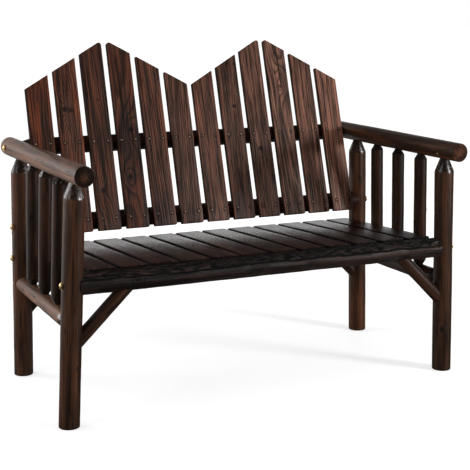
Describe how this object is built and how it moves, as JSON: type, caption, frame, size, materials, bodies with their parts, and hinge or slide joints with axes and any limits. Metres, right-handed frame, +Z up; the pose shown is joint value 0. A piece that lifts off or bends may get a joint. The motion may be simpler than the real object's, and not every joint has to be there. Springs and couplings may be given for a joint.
{
  "type": "rustic log bench",
  "caption": "Rustic garden bench of whittled round logs, with log arms on spindles, a slatted seat, and a leaning slatted back whose top rises to two peaks.",
  "frame": {"origin": "on the floor, under the middle of the bench's width and depth", "axes": "+X along the seat to the right seen from the front, +Y from front to back, +Z up"},
  "size_m": [1.2764, 0.716, 1.0024],
  "materials": {
    "log_wood": "brown stain, satin",
    "back_board_wood": "red-brown stain, satin, streaked grain",
    "seat_board_wood": "dark brown stain, satin",
    "brass_hardware": "polished",
    "nut_steel": "zinc plated",
    "screw_steel": "dull bronze plated"
  },
  "bodies": {
    "root": {"front_left_post": "log_wood", "front_right_post": "log_wood", "rear_left_post": "log_wood", "rear_right_post": "log_wood", "left_arm": "log_wood", "right_arm": "log_wood", "left_side_stretcher": "log_wood", "right_side_stretcher": "log_wood", "left_front_spindle": "log_wood", "left_middle_spindle": "log_wood", "left_rear_spindle": "log_wood", "right_front_spindle": "log_wood", "right_middle_spindle": "log_wood", "right_rear_spindle": "log_wood", "front_seat_rail": "log_wood", "rear_seat_rail": "log_wood", "lower_back_rail": "log_wood", "upper_back_rail": "log_wood", "front_left_brace": "log_wood", "front_right_brace": "log_wood", "rear_left_brace": "log_wood", "rear_right_brace": "log_wood", "back_slat_01": "back_board_wood", "back_slat_02": "back_board_wood", "back_slat_03": "back_board_wood", "back_slat_04": "back_board_wood", "back_slat_05": "back_board_wood", "back_slat_06": "back_board_wood", "back_slat_07": "back_board_wood", "back_slat_08": "back_board_wood", "back_slat_09": "back_board_wood", "back_slat_10": "back_board_wood", "back_slat_11": "back_board_wood", "back_slat_12": "back_board_wood", "seat_slat_01": "seat_board_wood", "seat_slat_02": "seat_board_wood", "seat_slat_03": "seat_board_wood", "seat_slat_04": "seat_board_wood", "seat_slat_05": "seat_board_wood", "seat_slat_06": "seat_board_wood", "seat_slat_07": "seat_board_wood", "seat_slat_08": "seat_board_wood", "seat_slat_09": "seat_board_wood", "seat_slat_10": "seat_board_wood", "seat_slat_11": "seat_board_wood", "seat_slat_12": "seat_board_wood", "rail_bolts": "brass_hardware", "bolt_washers": "brass_hardware", "barrel_nuts": "nut_steel", "seat_slat_screws": "screw_steel", "back_slat_screws": "screw_steel", "arm_lock_screws": "screw_steel", "stretcher_lock_screws": "screw_steel"}
  },
  "joints": []
}
